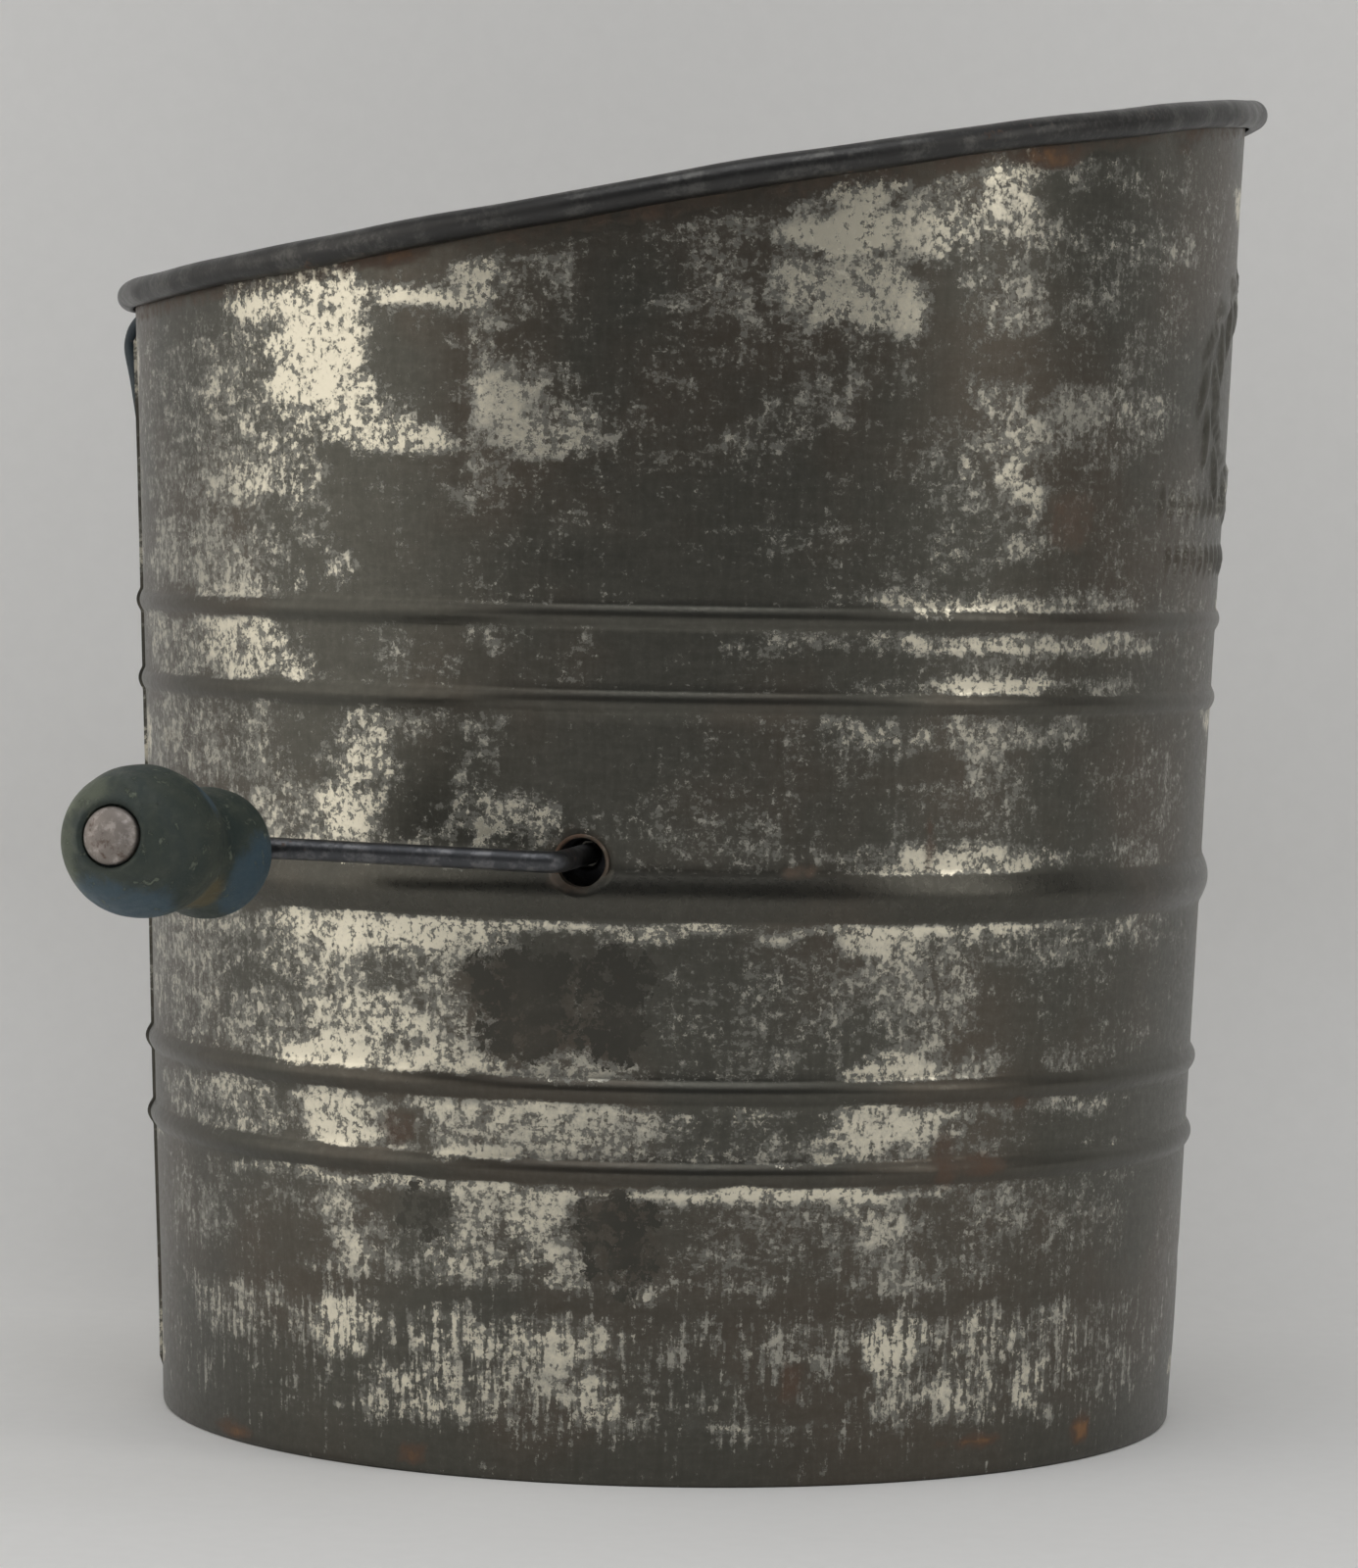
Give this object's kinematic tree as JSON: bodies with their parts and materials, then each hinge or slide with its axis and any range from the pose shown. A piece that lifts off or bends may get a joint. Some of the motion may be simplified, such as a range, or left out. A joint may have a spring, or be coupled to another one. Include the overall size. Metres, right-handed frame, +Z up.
{
  "type": "flour sifter",
  "caption": "Tapered tin flour sifter with a slanted rolled mouth, side wire crank with turned knob, strap handle, wire agitator and dished screen.",
  "frame": {"origin": "middle of the footprint of the whole object on the plane it stands on", "axes": "+Z up; the crank shaft runs along Y and its handle end points to -Y; the pouring lip is 14 degrees from +X towards +Y"},
  "size_m": [0.1595, 0.1801, 0.165],
  "materials": {
    "tin_plate": "worn, mottled tin plate",
    "rolled_rim": "dark smooth rolled edge",
    "steel_wire": "dull drawn wire",
    "woven_screen": "woven wire cloth",
    "painted_wood": "worn dark green paint",
    "cap_metal": "dull oxidised metal",
    "painted_strap": "worn dark paint"
  },
  "bodies": {
    "sifter_body": {"body_shell": "tin_plate", "rim_roll": "rolled_rim", "rim_wire": "steel_wire", "sieve_screen": "woven_screen", "screen_hoop": "tin_plate", "screen_clamp_ring": "tin_plate", "handle_strap": "painted_strap", "handle_rivet_upper": "painted_strap", "handle_rivet_lower": "painted_strap"},
    "crank": {"crank_rod": "steel_wire", "agitator_collar_front": "steel_wire", "agitator_collar_back": "steel_wire", "agitator_wire_1": "steel_wire", "agitator_wire_2": "steel_wire", "agitator_wire_3": "steel_wire", "agitator_wire_4": "steel_wire", "shaft_washer": "steel_wire", "tail_washer": "steel_wire", "knob_washer": "steel_wire", "knob_cap": "cap_metal"},
    "knob": {"knob_grip": "painted_wood"}
  },
  "joints": [
    {"name": "crank_spin", "type": "hinge", "parent": "sifter_body", "child": "crank", "pos_m": [0.0075, 0.0182, 0.0727], "axis": [0, 1, 0], "continuous": true},
    {"name": "knob_spin", "type": "hinge", "parent": "crank", "child": "knob", "pos_m": [-0.0304, -0.05608, 0.0722], "axis": [-0.1484, -0.9814, 0.1219], "continuous": true}
  ]
}
